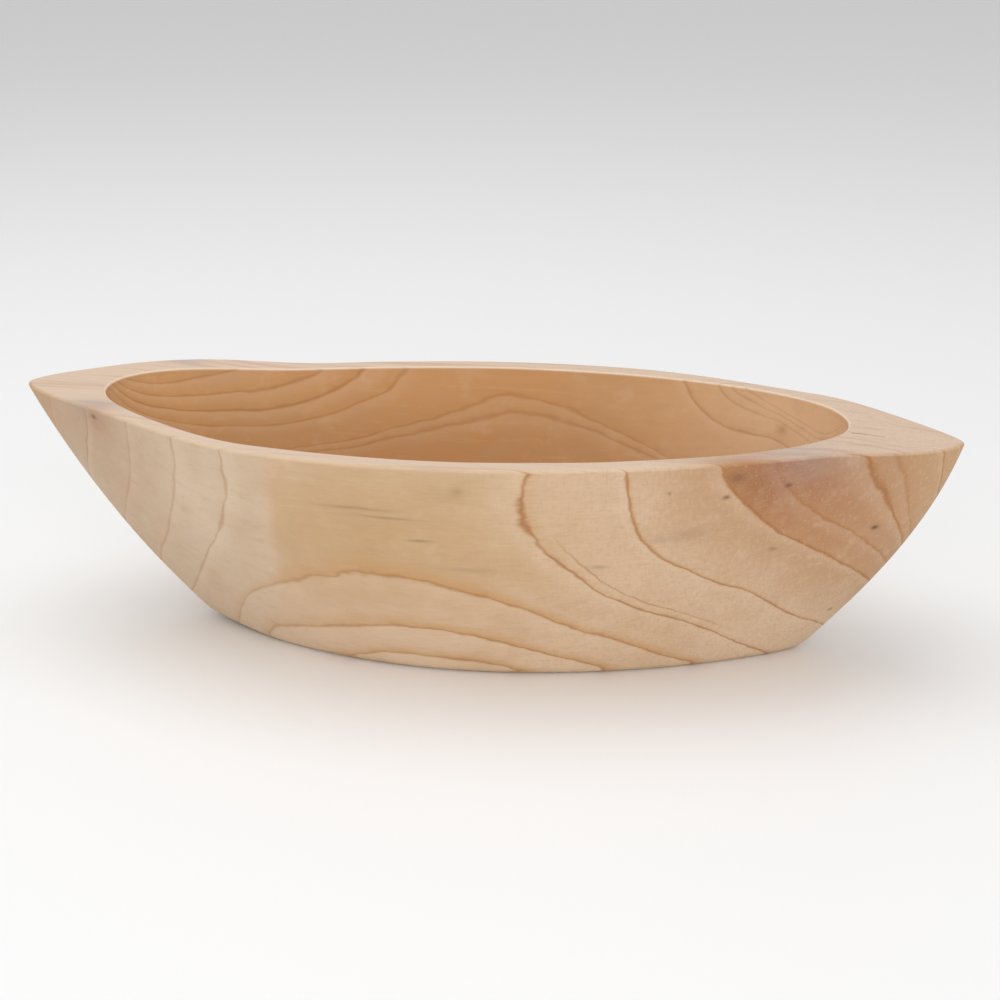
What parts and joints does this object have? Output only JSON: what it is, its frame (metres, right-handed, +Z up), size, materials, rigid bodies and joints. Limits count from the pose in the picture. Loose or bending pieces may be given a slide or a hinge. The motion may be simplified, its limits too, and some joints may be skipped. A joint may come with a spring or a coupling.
{
  "type": "carved wooden bowl",
  "caption": "Boat-shaped bowl carved from one billet of pale wood, with pointed ends, flat end lands, raked stems and a flat foot.",
  "frame": {"origin": "centre of the bounding box at the underside of the flat foot", "axes": "+X along the length towards the end with the longer land, +Y across the width, +Z up"},
  "size_m": [0.5, 0.212, 0.13],
  "materials": {
    "wood": "bare sanded wood with fine growth rings, unvarnished"
  },
  "bodies": {
    "root": {"bowl": "wood"}
  },
  "joints": []
}
